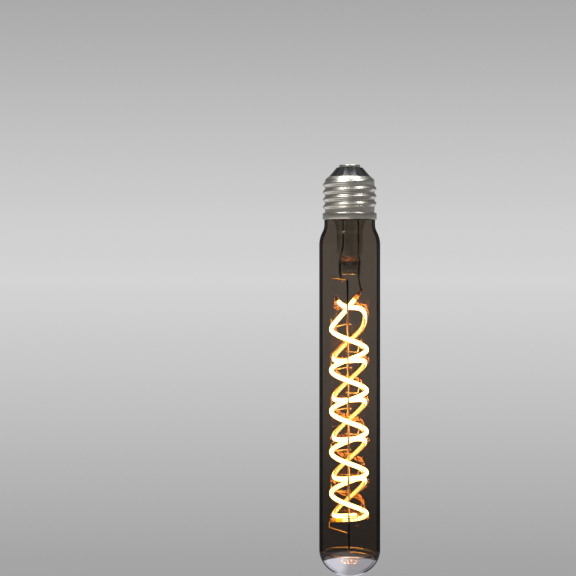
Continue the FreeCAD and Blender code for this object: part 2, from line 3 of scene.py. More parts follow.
import bmesh
import bpy
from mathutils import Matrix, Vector


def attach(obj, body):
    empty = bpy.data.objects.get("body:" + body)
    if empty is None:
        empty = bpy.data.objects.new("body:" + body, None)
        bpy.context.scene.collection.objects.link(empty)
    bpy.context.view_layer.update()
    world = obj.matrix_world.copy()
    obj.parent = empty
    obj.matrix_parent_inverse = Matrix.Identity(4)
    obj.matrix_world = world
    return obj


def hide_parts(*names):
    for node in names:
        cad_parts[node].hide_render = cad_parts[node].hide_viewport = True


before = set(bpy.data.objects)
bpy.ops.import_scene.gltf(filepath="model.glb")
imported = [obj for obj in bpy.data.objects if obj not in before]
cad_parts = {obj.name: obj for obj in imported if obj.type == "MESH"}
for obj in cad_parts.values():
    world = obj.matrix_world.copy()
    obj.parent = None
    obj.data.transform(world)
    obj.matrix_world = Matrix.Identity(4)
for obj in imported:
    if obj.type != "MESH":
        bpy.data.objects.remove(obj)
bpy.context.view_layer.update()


# Glass stem. A tube of clear soda glass, flared at the top where it is fused to the bulb's
# neck. Its lower end was pinched flat round the wires while soft, which left two ribs on
# each side and a rippled, rounded end in the tube's hollow. A small hole was blown through it.

MM = 0.001


def linear(hex_code):
    """An sRGB hex colour as linear red, green, blue and alpha."""
    parts = []
    for i in (0, 2, 4):
        c = int(hex_code[i:i + 2], 16) / 255
        parts.append(c / 12.92 if c <= 0.04045 else ((c + 0.055) / 1.055) ** 2.4)
    return (*parts, 1.0)


def add_node(tree, kind, settings=None, inputs=None):
    """A node with its settings, and its inputs set to values or linked to other nodes' outputs."""
    made = tree.nodes.new(kind)
    for name, value in (settings or {}).items():
        setattr(made, name, value)
    for key, value in (inputs or {}).items():
        if isinstance(value, bpy.types.NodeSocket):
            tree.links.new(value, made.inputs[key])
        else:
            made.inputs[key].default_value = value
    return made


def calc(tree, operation, *values, clamp=False):
    """The result of a math node on values and outputs."""
    return add_node(tree, "ShaderNodeMath", {"operation": operation, "use_clamp": clamp},
                    dict(enumerate(values))).outputs[0]


def ramped(tree, value, start, end, low=0.0, high=1.0, kind="LINEAR"):
    """A number that goes from low to high as a value goes from start to end."""
    return add_node(tree, "ShaderNodeMapRange", {"interpolation_type": kind},
                    {"Value": value, "From Min": start, "From Max": end,
                     "To Min": low, "To Max": high}).outputs[0]


def eased(tree, value, start, end, low=0.0, high=1.0):
    """A number that goes from low to high in the same way, with a soft start and end."""
    return ramped(tree, value, start, end, low, high, "SMOOTHSTEP")


def mixed(tree, share, *shades):
    """Two shades, hex colours or outputs, mixed by the second one's share."""
    first, second = [linear(shade) if isinstance(shade, str) else shade for shade in shades]
    return add_node(tree, "ShaderNodeMix", {"data_type": "RGBA"}, {0: share, 6: first, 7: second}).outputs[2]


def noise(tree, place, scale, detail):
    """A cloudy pattern at a scale."""
    return add_node(tree, "ShaderNodeTexNoise",
                    inputs={"Vector": place, "Scale": scale, "Detail": detail}).outputs["Fac"]


def axes(tree, place):
    """A place's x, y and z."""
    return add_node(tree, "ShaderNodeSeparateXYZ", inputs={"Vector": place}).outputs


def new_finish(name):
    """A material, its emptied node tree, and the output that says where on the piece a point is."""
    material = bpy.data.materials.new(name)
    material.use_nodes = True
    tree = material.node_tree
    tree.nodes.clear()
    return material, tree, add_node(tree, "ShaderNodeTexCoord").outputs["Object"]


def bumped(tree, height, distance):
    """The surface normal of a pattern that stands up by a distance in millimetres."""
    return add_node(tree, "ShaderNodeBump",
                    inputs={"Strength": 1.0, "Distance": distance * MM, "Height": height}).outputs["Normal"]


def face_outward(bm):
    """Turns a form's faces so that they look outward."""
    if bm.calc_volume(signed=True) < 0:
        bmesh.ops.reverse_faces(bm, faces=bm.faces)


def mesh_of(bm):
    """The mesh of a finished form."""
    mesh = bpy.data.meshes.new("form")
    bm.to_mesh(mesh)
    bm.free()
    return mesh


def walled(sections, around, closed=False):
    """A mesh through level outlines, each (height, half width, half depth, squareness). A
    half width of 0 closes it at a point, and closed joins the last outline to the first."""
    bm = bmesh.new()
    rings = []
    for z, width, depth, square in sections:
        if width == 0:
            rings.append([bm.verts.new((0, 0, z * MM))])
            continue
        ring = []
        for k in range(around):
            c = math.cos(2 * math.pi * k / around)
            s = math.sin(2 * math.pi * k / around)
            x = width * math.copysign(abs(c) ** square, c)
            y = depth * math.copysign(abs(s) ** square, s)
            ring.append(bm.verts.new((x * MM, y * MM, z * MM)))
        rings.append(ring)
    pairs = list(zip(rings, rings[1:]))
    if closed:
        pairs.append((rings[-1], rings[0]))
    for low, high in pairs:
        for k in range(around):
            n = (k + 1) % around
            if len(low) == 1:
                bm.faces.new((low[0], high[k], high[n]))
            elif len(high) == 1:
                bm.faces.new((low[k], high[0], low[n]))
            else:
                bm.faces.new((low[k], high[k], high[n], low[n]))
    face_outward(bm)
    return mesh_of(bm)


def turned(profile, around, closed=False):
    """A mesh turned on the lamp's axis from (height, radius) points."""
    return walled([(z, r, r, 1) for z, r in profile], around, closed)


def added(name, data):
    """A new object in the scene."""
    made = bpy.data.objects.new(name, data)
    bpy.context.collection.objects.link(made)
    return made


def put(name, mesh, nodes, materials, crease=50):
    """Puts a mesh in the scene as the piece that stands for its CAD nodes."""
    piece = added(name, mesh)
    mesh.name = name
    mesh.materials.clear()
    for material in materials:
        mesh.materials.append(material)
    mesh.shade_smooth()
    mesh.set_sharp_from_angle(angle=math.radians(crease))
    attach(piece, "root")
    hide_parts(*nodes)
    return piece


def evaluated(host):
    """The plain mesh of an object with its modifiers done."""
    graph = bpy.context.evaluated_depsgraph_get()
    return bpy.data.meshes.new_from_object(host.evaluated_get(graph))


def cut_by(mesh, tools):
    """The mesh with the tools' forms taken out of it."""
    body = added("body", mesh)
    cutters = [added("cutter", tool) for tool in tools]
    for cutter in cutters:
        step = body.modifiers.new("cut", "BOOLEAN")
        step.operation = "DIFFERENCE"
        step.solver = "EXACT"
        step.object = cutter
    result = evaluated(body)
    for used in [body] + cutters:
        bpy.data.objects.remove(used)
    return result


stem_hollow = [(-19.80, 0), (-19.78, 1.3), (-19.62, 2.3), (-19.25, 3.1), (-18.4, 3.85), (-17.2, 4.55),
               (-15.6, 5.15), (-14.4, 5.3), (-6.0, 5.3), (-3.0, 5.8), (0.0, 6.75), (3.5, 7.9), (8.4, 9.35)]
stem_outside = [(8.4, 10.3), (7.0, 10.3), (3.0, 8.8), (0.0, 7.75), (-3.0, 6.8), (-6.0, 6.25), (-15.2, 6.25),
                (-16.4, 6.0), (-17.4, 5.45), (-18.2, 5.05)]
stem_pinch = [(-18.8, 4.98, 4.75, 0.96), (-19.4, 5.08, 4.3, 0.9), (-20.0, 5.26, 3.85, 0.82),
              (-20.8, 5.46, 3.25, 0.72), (-21.6, 5.5, 2.7, 0.66), (-22.3, 5.5, 2.2, 0.6)]
stem_ribs = [(-22.65, 1.98), (-22.85, 2.25), (-23.1, 2.38), (-23.35, 2.25), (-23.6, 1.98), (-24.6, 1.92),
             (-25.7, 1.94), (-26.0, 2.2), (-26.3, 2.36), (-26.6, 2.2), (-26.9, 1.9), (-27.2, 1.66)]
press_half = 5.5
press_corner = 1.6
press_bottom = -27.4
press_bottom_half_d = 1.3
press_square = 0.5

sections = [(z, r, r, 1) for z, r in stem_hollow + stem_outside] + stem_pinch
for z, depth in stem_ribs:
    under = max(0, press_bottom + press_corner - z)
    width = press_half - press_corner + math.sqrt(press_corner ** 2 - under ** 2)
    sections.append((z, width, depth, press_square))
sections += [(press_bottom, press_half - press_corner, press_bottom_half_d, press_square),
             (press_bottom, 0, 0, 1)]

bore_pocket = [(-19.95, 0), (-19.98, 0.6), (-20.2, 1.0), (-21.4, 1.0), (-21.8, 0.7), (-21.95, 0)]
vent_r = 0.65
vent_mouth_r = 0.8775
vent_length = 3.6
vent_z = -21.2
vent_hole = turned([(0, 0), (0, vent_r), (vent_length, vent_mouth_r), (vent_length, 0)], around=32)
for corner in vent_hole.vertices:
    x, y, z = corner.co
    corner.co = (x, -z, vent_z * MM + y)

stem_mesh = cut_by(walled(sections, around=96), [turned(bore_pocket, around=32), vent_hole])

# Clear soda glass, worked in a flame: a hard, wet gloss with a slow ripple of a few
# millimetres, and tool marks where it was pinched. The tube above the pinch has painted shade:
# it is darker where it is seen edge on. Light for shadows goes straight through.
pinch_top = -16.5
pinch_full = -19.5
tube_end = -15.5
tube_full = -14.5
clear_glass, tree, place = new_finish("clear soda glass, flame worked")
height = axes(tree, place)["Z"]
pinched = ramped(tree, height, pinch_top * MM, pinch_full * MM, high=0.25)
fine = noise(tree, place, scale=1900, detail=1.0)
worked = calc(tree, "MULTIPLY_ADD", fine, pinched, noise(tree, place, scale=420, detail=2.0))
side = add_node(tree, "ShaderNodeLayerWeight", inputs={"Blend": 0.5}).outputs["Facing"]
tube = ramped(tree, height, tube_end * MM, tube_full * MM)
# Painted shade: above the pinch the glass's colour turns dark brown where the tube is seen edge on.
painted_edge_shade = eased(tree, side, 0.5, 0.8, high=tube)
glass = add_node(tree, "ShaderNodeBsdfPrincipled",
                 inputs={"Base Color": mixed(tree, painted_edge_shade, "F4F6F2", "3C332A"), "Roughness": 0.02, "IOR": 1.52,
                         "Transmission Weight": 1.0, "Normal": bumped(tree, worked, 0.12)})
through = add_node(tree, "ShaderNodeBsdfTransparent", inputs={"Color": linear("EEF0EC")})
ray = add_node(tree, "ShaderNodeLightPath").outputs
shaded = add_node(tree, "ShaderNodeMixShader",
                  inputs={0: ray["Is Shadow Ray"], 1: glass.outputs[0], 2: through.outputs[0]})
thick = add_node(tree, "ShaderNodeVolumeAbsorption", inputs={"Color": linear("D0BC90"), "Density": 110.0})
add_node(tree, "ShaderNodeOutputMaterial", inputs={"Surface": shaded.outputs[0], "Volume": thick.outputs[0]})

put("stem_of_clear_glass", stem_mesh, ["glass_stem"], [clear_glass])


# Exhaust tube. A thin glass tube through which the bulb was pumped and filled with gas. It
# stands in the stem's hollow and was drawn off to a closed tip inside the cap.

exhaust_r = 1.7
exhaust_bore = 1.0
exhaust_foot = -19.86
exhaust = [(8.0, 0), (7.9, 0.35), (7.2, 0.95), (6.5, exhaust_bore), (exhaust_foot, exhaust_bore),
           (exhaust_foot, exhaust_r), (6.6, exhaust_r), (7.6, 1.5), (8.6, 0.95), (9.3, 0.5), (9.5, 0)]
put("exhaust_tube_of_glass", turned(exhaust, around=32), ["exhaust_tube"], [clear_glass])


# Lead wires. Two thick wires, sealed in the pinched glass, bring the current from the
# driver. The left one ends in a welded bead under the rod's bar, and the right one slants
# out to the outer filament's metal strip.

def new_tree(name, sockets, result):
    """A Geometry Nodes tree with inputs of these names and kinds, and the outputs that give them."""
    tree = bpy.data.node_groups.new(name, "GeometryNodeTree")
    for label, kind in sockets.items():
        tree.interface.new_socket(label, in_out="INPUT", socket_type="NodeSocket" + kind)
    tree.interface.new_socket(result, in_out="OUTPUT", socket_type="NodeSocketGeometry")
    return tree, add_node(tree, "NodeGroupInput").outputs


def swept(tree, path, section):
    """A section swept along a path, as wide as the path's radius says, and capped."""
    swell = add_node(tree, "GeometryNodeInputRadius").outputs[0]
    return add_node(tree, "GeometryNodeCurveToMesh", inputs={
        "Curve": path, "Profile Curve": section, "Scale": swell, "Fill Caps": True}).outputs[0]


def end_tree(tree, shape, material):
    """Ends a tree: its shape is made real, and goes out with its material."""
    real = add_node(tree, "GeometryNodeRealizeInstances", inputs={"Geometry": shape})
    done = add_node(tree, "GeometryNodeSetMaterial", inputs={"Geometry": real.outputs[0], "Material": material})
    add_node(tree, "NodeGroupOutput", inputs={0: done.outputs[0]})


wire_tree, given = new_tree("drawn wire", {"Path": "Geometry", "Diameter": "Float", "Sides": "Int",
                                           "Metal": "Material"}, "Wire")
wire_r = calc(wire_tree, "MULTIPLY", given["Diameter"], 0.5)
section = add_node(wire_tree, "GeometryNodeCurvePrimitiveCircle",
                   inputs={"Resolution": given["Sides"], "Radius": wire_r}).outputs["Curve"]
end_tree(wire_tree, swept(wire_tree, given["Path"], section), given["Metal"])


def grown(host, tree, sizes):
    """The plain mesh that a Geometry Nodes tree makes from its host, with its inputs set by name."""
    step = host.modifiers.new("make", "NODES")
    step.node_group = tree
    for socket in tree.interface.items_tree:
        if socket.name in sizes:
            step[socket.identifier] = sizes[socket.name]
    mesh = evaluated(host)
    bpy.data.objects.remove(host)
    return mesh


def path_host(points, swells=None):
    """A curve object through points in millimetres, with how far it swells at each."""
    line = bpy.data.curves.new("path", "CURVE")
    line.dimensions = "3D"
    spline = line.splines.new("POLY")
    spline.points.add(len(points) - 1)
    for i, point in enumerate(points):
        spline.points[i].co = (*(Vector(point) * MM), 1)
        spline.points[i].radius = swells[i] if swells else 1.0
    return added("path", line)


def bends(points, radii, steps=7):
    """Straight runs through the points, with a round bend of the given radius at each inner one."""
    made = [Vector(points[0])]
    for i in range(1, len(points) - 1):
        corner = Vector(points[i])
        back = (Vector(points[i - 1]) - corner).normalized()
        on = (Vector(points[i + 1]) - corner).normalized()
        half = back.angle(on) / 2
        middle = (back + on).normalized()
        centre = corner + middle * (radii[i - 1] / math.sin(half))
        first = corner + back * (radii[i - 1] / math.tan(half)) - centre
        last = corner + on * (radii[i - 1] / math.tan(half)) - centre
        for k in range(steps + 1):
            made.append(centre + first.slerp(last, k / steps))
    made.append(Vector(points[-1]))
    return made


def wire(points, diameter, metal, swells=None, sides=14):
    """A drawn wire along points."""
    sizes = {"Diameter": diameter * MM, "Sides": sides, "Metal": metal}
    return grown(path_host(points, swells), wire_tree, sizes)


outer_r = 8.65
outer_x = -0.35
outer_left_z = -54.04
outer_pitch = 20.2
outer_start = -0.335
outer_end = 4.884
outer_rise = 95.0
outer_rise_turn = 0.25
outer_squeeze = 2.27
outer_squeeze_turn = 0.2
outer_flat_from = 4.58
outer_flat_to = 4.74
outer_flat_slope = 0.10
outer_strip = 4.3


def outer_place(turn):
    """The outer filament's middle. Turn 0 is its first left-hand reach, and it goes down in front."""
    a = 2 * math.pi * turn
    z = outer_left_z - outer_pitch * min(turn, outer_flat_from)
    if turn > outer_flat_from:
        ease = min(turn, outer_flat_to) - outer_flat_from
        slow = (1 - outer_flat_slope) / (outer_flat_to - outer_flat_from)
        z -= outer_pitch * (ease - slow * ease * ease / 2)
        z -= outer_pitch * outer_flat_slope * max(0, turn - outer_flat_to)
    curved = min(max(0, -turn), outer_rise_turn)
    z += outer_rise * curved * curved
    z += 2 * outer_rise * outer_rise_turn * max(0, -turn - outer_rise_turn)
    depth = 1 - outer_squeeze * max(0, -turn - outer_squeeze_turn)
    return Vector((outer_x - outer_r * math.cos(a), -depth * outer_r * math.sin(a), z))


def strand_axes(place, turn):
    """Along a filament, level across it, and up its side."""
    step = 0.002
    along = (place(turn + step) - place(turn - step)).normalized()
    across = Vector((0, 0, 1)).cross(along).normalized()
    return along, across, along.cross(across)


strip_thickness = 0.3
weld_gap = 0.06


def on_strip(place, turn, reach, wire_d, towards):
    """The middle of a wire welded on a filament's metal strip, on the side that faces a point."""
    along, across = strand_axes(place, turn)[:2]
    middle = place(turn) + along * reach
    if across.dot(Vector(towards) - middle) < 0:
        across = -across
    return middle + across * ((strip_thickness + wire_d) / 2 + weld_gap)


def two_shades(tree, place, light, dark, scale, detail, gloss):
    """A pattern, and the shade and the roughness that come and go with it."""
    grain = noise(tree, place, scale, detail)
    return grain, mixed(tree, grain, light, dark), ramped(tree, grain, 0.0, 1.0, *gloss)


def opaque(tree, inputs):
    """Ends a finish in one body that lets nothing through."""
    body = add_node(tree, "ShaderNodeBsdfPrincipled", inputs=inputs)
    add_node(tree, "ShaderNodeOutputMaterial", inputs={"Surface": body.outputs[0]})


# Nickel-iron wire with the black oxide that the flame left on it: dark and half dull, with
# a brown cast, and drawn lines too fine to see but for a broken gleam.
oxide, tree, place = new_finish("nickel iron wire, flame oxidised")
mottle, shade, dull = two_shades(tree, place, "1E1B19", "4A423B", scale=900, detail=4.0, gloss=(0.3, 0.55))
opaque(tree, {"Base Color": shade, "Metallic": 1.0, "Roughness": dull, "Normal": bumped(tree, mottle, 0.01)})

lead_d = 0.84
lead_x = 4.3
lead_tube_x = 3.4
lead_top = 14.1
lead_tube_low = -12
lead_pinch_z = -18.8
lead_out = -27.7
lead_bend = 0.8
bead = Vector((-4.05, 0, -30.1))
bead_r = 0.65
bead_rings = 8
bead_last = math.pi - 0.02
weld_in = 0.8

left_path = bends([(-lead_tube_x, 0, lead_top), (-lead_tube_x, 0, lead_tube_low), (-lead_x, 0, lead_pinch_z),
                   (-lead_x, 0, lead_out), bead], [lead_bend] * 3)[:-1]
left_swells = [1.0] * len(left_path)
down = (bead - left_path[-1]).normalized()
neck = math.asin(lead_d / 2 / bead_r)
for k in range(bead_rings + 1):
    angle = neck + (bead_last - neck) * k / bead_rings
    left_path.append(bead - down * bead_r * math.cos(angle))
    left_swells.append(bead_r * math.sin(angle) / (lead_d / 2))
left_lead = wire(left_path, lead_d, oxide, left_swells)

right_end = on_strip(outer_place, outer_start, weld_in - outer_strip, lead_d, (lead_x, 0, lead_out))
right_path = bends([(lead_x, 0, lead_top), (lead_x, 0, lead_out), right_end], [lead_bend])
put("right_lead_wire", wire(right_path, lead_d, oxide), ["lead_wire_right"], [oxide])


# Support rod. One stiff nickel-plated steel wire: a short bar that is welded in front of the
# left lead, a long upright, and a ring that keeps it in the middle of the bulb.

rod_d = 0.98
rod_bend = 1.9
rod_y = -(lead_d + rod_d) / 2 - weld_gap
rod_top = Vector((-0.2, rod_y, -28.4))
bar_left = Vector((-8.8, rod_y, -28.4))
ring_r = 12.9
ring_centre = Vector((-0.15, 0, -164.2))
ring_tilt_side = math.radians(2.4)
ring_tilt_back = math.radians(6.5)
ring_right = Vector((math.cos(ring_tilt_side), 0, -math.sin(ring_tilt_side)))
ring_away = Vector((0, math.cos(ring_tilt_back), math.sin(ring_tilt_back)))
foot_x = -1.15
foot_y = -3.0
ring_bend = 1.5
ring_turn = math.radians(330)
bend_steps = 10
ring_steps = 90


def in_ring(x, y):
    """A point in the ring's tilted plane."""
    return ring_centre + ring_right * x + ring_away * y


def rod_at(z):
    """The middle of the upright at a height."""
    foot = in_ring(foot_x, foot_y)
    return rod_top + (foot - rod_top) * ((rod_top.z - z) / (rod_top.z - foot.z))


painted_shade_fade = 2.0


# Drawn wire with a plate of nickel or tin: a warm pale metal with a soft gleam along it and
# a faint tarnish every few millimetres. The rod's upright has painted shade near its ends: it
# is darkened to brown-black there.
def drawn_wire_finish(name, painted_shade):
    """The wire's finish, with stretches of painted shade, each a middle height and a half length."""
    made, tree, place = new_finish(name)
    shade, gleam = two_shades(tree, place, "EADBBC", "C9B088", scale=260, detail=3.0, gloss=(0.24, 0.42))[1:]
    height = axes(tree, place)["Z"]
    # Painted shade: each stretch darkens the metal to brown-black, fading out at its ends.
    for middle, half in painted_shade:
        off = calc(tree, "ABSOLUTE", calc(tree, "SUBTRACT", height, middle * MM))
        shade = mixed(tree, eased(tree, off, half * MM, (half - painted_shade_fade) * MM), shade, "241C16")
    fine = bumped(tree, noise(tree, place, scale=2600, detail=2.0), 0.006)
    opaque(tree, {"Base Color": shade, "Metallic": 1.0, "Roughness": gleam, "Normal": fine})
    return made


nickel = drawn_wire_finish("nickel plated wire, drawn", [])
# The upright gets painted shade near both ends, in place of the shade it falls into there.
nickel_with_painted_shade = drawn_wire_finish("nickel plated wire, with painted shade in places", [(-36.5, 7.5), (-155.5, 7.0)])

ring_across = foot_y + ring_bend
ring_reach = math.sqrt((ring_r - ring_bend) ** 2 - ring_across ** 2)
ring_first = math.atan2(ring_across, ring_reach)
rod_path = bends([bar_left, rod_top, in_ring(foot_x, foot_y), in_ring(ring_reach, foot_y)],
                 [rod_bend] * 2, bend_steps)
for k in range(1, bend_steps + 1):
    angle = -math.pi / 2 + (ring_first + math.pi / 2) * k / bend_steps
    rod_path.append(in_ring(ring_reach + ring_bend * math.cos(angle), ring_across + ring_bend * math.sin(angle)))
for k in range(1, ring_steps + 1):
    angle = ring_first + ring_turn * k / ring_steps
    rod_path.append(in_ring(ring_r * math.cos(angle), ring_r * math.sin(angle)))
put("support_rod_with_ring", wire(rod_path, rod_d, nickel_with_painted_shade, sides=18), ["support_rod"],
    [nickel_with_painted_shade])

# The left lead's bead is the weld, so it has the rod's metal on it.
bead_top = (bead.z + bead_r) * MM
left_wire = put("left_lead_wire", left_lead, ["lead_wire_left"], [oxide, nickel])
for face in left_wire.data.polygons:
    face.material_index = 1 if face.center.z < bead_top else 0


# Hooks. Ten bits of fine nickel-plated wire, welded to the rod. Five hold the outer filament
# at its back left, with their tips outside it, and five at its front right, with their tips
# above it.

hook_d = 0.5
hook_bend = 0.35
hook_past_rod = 1.5
hook_toe = 0.6
hook_gap = 0.2
hook_count = 5
rear_turn = -0.105
rear_foot_rise = 0.8
rear_knee = 1.2
rear_tip_out = 0.9
rear_tip_up = 2.1
front_turn = 0.36
front_foot_drop = 2.0
front_knee = 1.9
front_tip_left = 0.6
front_tip_up = 2.6
strand_w = 2.1
cad_strand_sides = 8
hook_clear = strand_w / 2 / math.cos(math.pi / cad_strand_sides) + hook_d / 2 + hook_gap
rod_side = Vector((0, (rod_d + hook_d) / 2 + weld_gap, 0))

for number in range(hook_count):
    for side, turn, rise, to_back in (("rear", rear_turn, rear_foot_rise, 1),
                                      ("front", front_turn, -front_foot_drop, -1)):
        held = outer_place(number + turn)
        out = Vector((held.x - outer_x, held.y, 0)).normalized()
        below = held - Vector((0, 0, hook_clear))
        foot = rod_at(below.z + rise) + rod_side * to_back
        if side == "rear":
            knee = foot - Vector((rear_knee, 0, 0))
            tip = held + out * (hook_clear + rear_tip_out) + Vector((0, 0, rear_tip_up))
        else:
            knee = Vector((held.x - front_knee, foot.y, foot.z))
            tip = held + out * hook_clear + Vector((-front_tip_left, 0, front_tip_up))
        points = [foot + Vector((hook_past_rod * to_back, 0, 0)), knee, below - out * hook_toe,
                  below + out * hook_clear, tip]
        hook = wire(bends(points, [hook_bend] * 3, steps=4), hook_d, nickel, sides=10)
        put("%s_hook_wire_%d" % (side, number + 1), hook, ["%s_hook_%d" % (side, number + 1)],
            [nickel])


# Filaments. Two flexible strips of tiny lamp chips, each coated all round in yellow phosphor
# silicone and wound by hand. The outer one is a round left-hand coil. The inner one is
# flatter, lies behind the rod, and has its strip's back towards the rod.

strand_t = 1.9
strand_steps = 64
strand_sides = 20
strand_ends = (0.62, 0.9)
chip_pitch = 2.0
chip_dip = 0.3
chip_fade = 0.5
front_glow = 45.0
side_glow = 1.2
end_glow = 5.0
deep_end = 20.0
inner_half_w = 7.6
inner_half_d = 2.5
inner_x = -0.07
inner_y = 2.95
inner_left_z = -68.4
inner_pitch = 19.36
inner_tip = 3.7
inner_start = -0.89
inner_end = 4.33
inner_strip = 2.2
inner_rise = 36.0
inner_rise_turn = 0.35
inner_crest = 3.4
inner_crest_turn = -0.6
inner_crest_half = 0.25
inner_level = 1.15
inner_level_from = 3.95
inner_level_over = 0.2


def inner_place(turn):
    """The inner filament's middle. Turn 0 is its first full left-hand reach."""
    a = 2 * math.pi * turn
    over = max(0, -turn - inner_rise_turn)
    from_crest = min(abs(turn - inner_crest_turn) / inner_crest_half, 1)
    levelled = min(max(0, turn - inner_level_from) / inner_level_over, 1)
    z = inner_left_z - inner_pitch * turn + inner_tip * (1 - math.cos(a)) + inner_rise * over * over
    z += inner_crest * (1 + math.cos(math.pi * from_crest)) / 2
    z += inner_level * (1 - math.cos(math.pi * levelled)) / 2
    return Vector((inner_x - inner_half_w * math.cos(a), inner_y - inner_half_d * math.sin(a), z))


strand_tree, given = new_tree("coated filament", {"Path": "Geometry", "Thickness": "Float", "Width": "Float",
                                                  "Sides": "Int", "Coating": "Material"}, "Filament")


def noted(shape, name, value):
    """The strand's shape, with a value kept on its points under a name."""
    return add_node(strand_tree, "GeometryNodeStoreNamedAttribute", {"data_type": "FLOAT", "domain": "POINT"},
                    {"Geometry": shape, "Name": name, "Value": value}).outputs[0]


path = add_node(strand_tree, "GeometryNodeSetCurveNormal", {"mode": "Z_UP"}, {"Curve": given["Path"]}).outputs[0]
reach = add_node(strand_tree, "GeometryNodeSplineParameter").outputs
total = add_node(strand_tree, "GeometryNodeSplineLength").outputs["Length"]
path = noted(path, "from_start", reach["Length"])
path = noted(path, "from_end", calc(strand_tree, "SUBTRACT", total, reach["Length"]))
circle = add_node(strand_tree, "GeometryNodeCurvePrimitiveCircle",
                  inputs={"Resolution": given["Sides"], "Radius": 0.5}).outputs["Curve"]
stretch = add_node(strand_tree, "ShaderNodeCombineXYZ",
                   inputs={"X": given["Thickness"], "Y": given["Width"], "Z": 1.0}).outputs[0]
oval = add_node(strand_tree, "GeometryNodeTransform", inputs={"Geometry": circle, "Scale": stretch}).outputs[0]
angle = calc(strand_tree, "MULTIPLY", reach["Factor"], 2 * math.pi)
section = noted(oval, "facing", calc(strand_tree, "COSINE", angle))
end_tree(strand_tree, swept(strand_tree, path, section), given["Coating"])


def filament(place, start, end, coating):
    """A coated strip along its place, rounded off at both ends."""
    count = math.ceil((end - start) * strand_steps)
    points = [place(start + (end - start) * i / count) for i in range(count + 1)]
    swells = [1.0] * (count + 1)
    for near, size in enumerate(strand_ends):
        swells[near] = size
        swells[-1 - near] = size
    sizes = {"Thickness": strand_t * MM, "Width": strand_w * MM, "Sides": strand_sides, "Coating": coating}
    return grown(path_host(points, swells), strand_tree, sizes)


def phosphor(name, back_glow, narrow, start_bare, end_bare):
    """Phosphor silicone over lit chips. It is white hot over the chips and fades to orange at
    its sides. The last millimetres have no chips and glow a deep yellow or red. The strip's
    back lets less light out, chip by chip."""
    made, tree, place = new_finish(name)
    start, end, facing = [add_node(tree, "ShaderNodeAttribute", {"attribute_name": kept}).outputs["Fac"]
                          for kept in ("from_start", "from_end", "facing")]
    wave = calc(tree, "SINE", calc(tree, "MULTIPLY", start, 2 * math.pi / (chip_pitch * MM)))
    chips = ramped(tree, wave, -1.0, 1.0, chip_dip * back_glow, back_glow)
    back = eased(tree, facing, *narrow, side_glow, chips)
    level = calc(tree, "MAXIMUM", back, eased(tree, facing, -0.2, 0.5, 0.0, front_glow))
    lit = 1.0
    for side, bare in ((start, start_bare), (end, end_bare)):
        over_chips = eased(tree, side, (bare - chip_fade) * MM, (bare + chip_fade) * MM)
        lit = calc(tree, "MULTIPLY", over_chips, lit)
    ends = mixed(tree, ramped(tree, start, 0.0, deep_end * MM), "FF6A12", "FFC21E")
    opaque(tree, {"Base Color": linear("E0A838"), "Roughness": 0.4,
                  "Emission Color": mixed(tree, lit, ends, "FFC26A"),
                  "Emission Strength": ramped(tree, lit, 0.0, 1.0, end_glow, level),
                  "Normal": bumped(tree, noise(tree, place, scale=1500, detail=2.0), 0.03)})
    return made


lit_outer = phosphor("lit phosphor silicone, outer", back_glow=45.0, narrow=(0.1, -0.4), start_bare=2.4,
                     end_bare=3.8)
lit_inner = phosphor("lit phosphor silicone, inner", back_glow=16.0, narrow=(-0.6, -0.97), start_bare=0.4,
                     end_bare=0.4)
put("outer_wound_filament", filament(outer_place, outer_start, outer_end, lit_outer), ["outer_filament"],
    [lit_outer])
put("inner_wound_filament", filament(inner_place, inner_start, inner_end, lit_inner), ["inner_filament"],
    [lit_inner])


# Metal strips. Each filament ends in a flat bare strip of stamped nickel that stands out of
# the silicone, for the wires to be welded on.

strip_width = 1.5
strip_edge = 0.06

# Nickel strip: warm and bright, with a fine rolled grain and straw-coloured where the welds
# heated it.
strip_nickel, tree, place = new_finish("nickel strip, stamped")
stain = noise(tree, place, scale=700, detail=3.0)
opaque(tree, {"Base Color": mixed(tree, stain, "E6C888", "C99C62"), "Metallic": 1.0, "Roughness": 0.3,
              "Normal": bumped(tree, stain, 0.01)})


def flat_strip(place, turn, reach):
    """A thin plate with eased edges, out of a filament's end."""
    along, across, up = strand_axes(place, turn)
    bm = bmesh.new()
    bmesh.ops.create_cube(bm, size=1.0)
    for corner in bm.verts:
        x, y, z = corner.co
        corner.co = (place(turn) + along * (reach * (x + 0.5)) + across * (y * strip_thickness)
                     + up * (z * strip_width)) * MM
    face_outward(bm)
    bmesh.ops.bevel(bm, geom=bm.edges, offset=strip_edge * MM, segments=2, affect="EDGES")
    return mesh_of(bm)


for name, node, place, turn, reach in (
        ("outer_upper_strip", "outer_top_tab", outer_place, outer_start, -outer_strip),
        ("outer_lower_strip", "outer_bottom_tab", outer_place, outer_end, outer_strip),
        ("inner_upper_strip", "inner_top_tab", inner_place, inner_start, -inner_strip),
        ("inner_lower_strip", "inner_bottom_tab", inner_place, inner_end, inner_strip)):
    put(name, flat_strip(place, turn, reach), [node], [strip_nickel])


# Link wires. Three bits of thin tinned copper wire close the circuit: from the outer
# filament's lower strip round the left to the rod, from the inner one's upper strip to the
# right lead, and from its lower strip to the rod.

link_d = 0.56
link_bend = 1.2
tail_x = -outer_r - 1.55
tail_front = 1.6
tail_drop = 3.2
tail_weld_drop = 5.5
upper_left = -3.6
upper_right = 4.6
upper_back = outer_r + 1.15
upper_drop = 4.2
lower_right = 3.4
lower_weld_drop = 1.6
far = 30
weld_side = Vector((0, (rod_d + link_d) / 2 + weld_gap, 0))
tinned = drawn_wire_finish("tinned copper wire", [])


def link(name, node, points):
    """One link wire, bent at its inner points."""
    path = bends(points, [link_bend] * (len(points) - 2))
    put(name, wire(path, link_d, tinned), [node], [tinned])


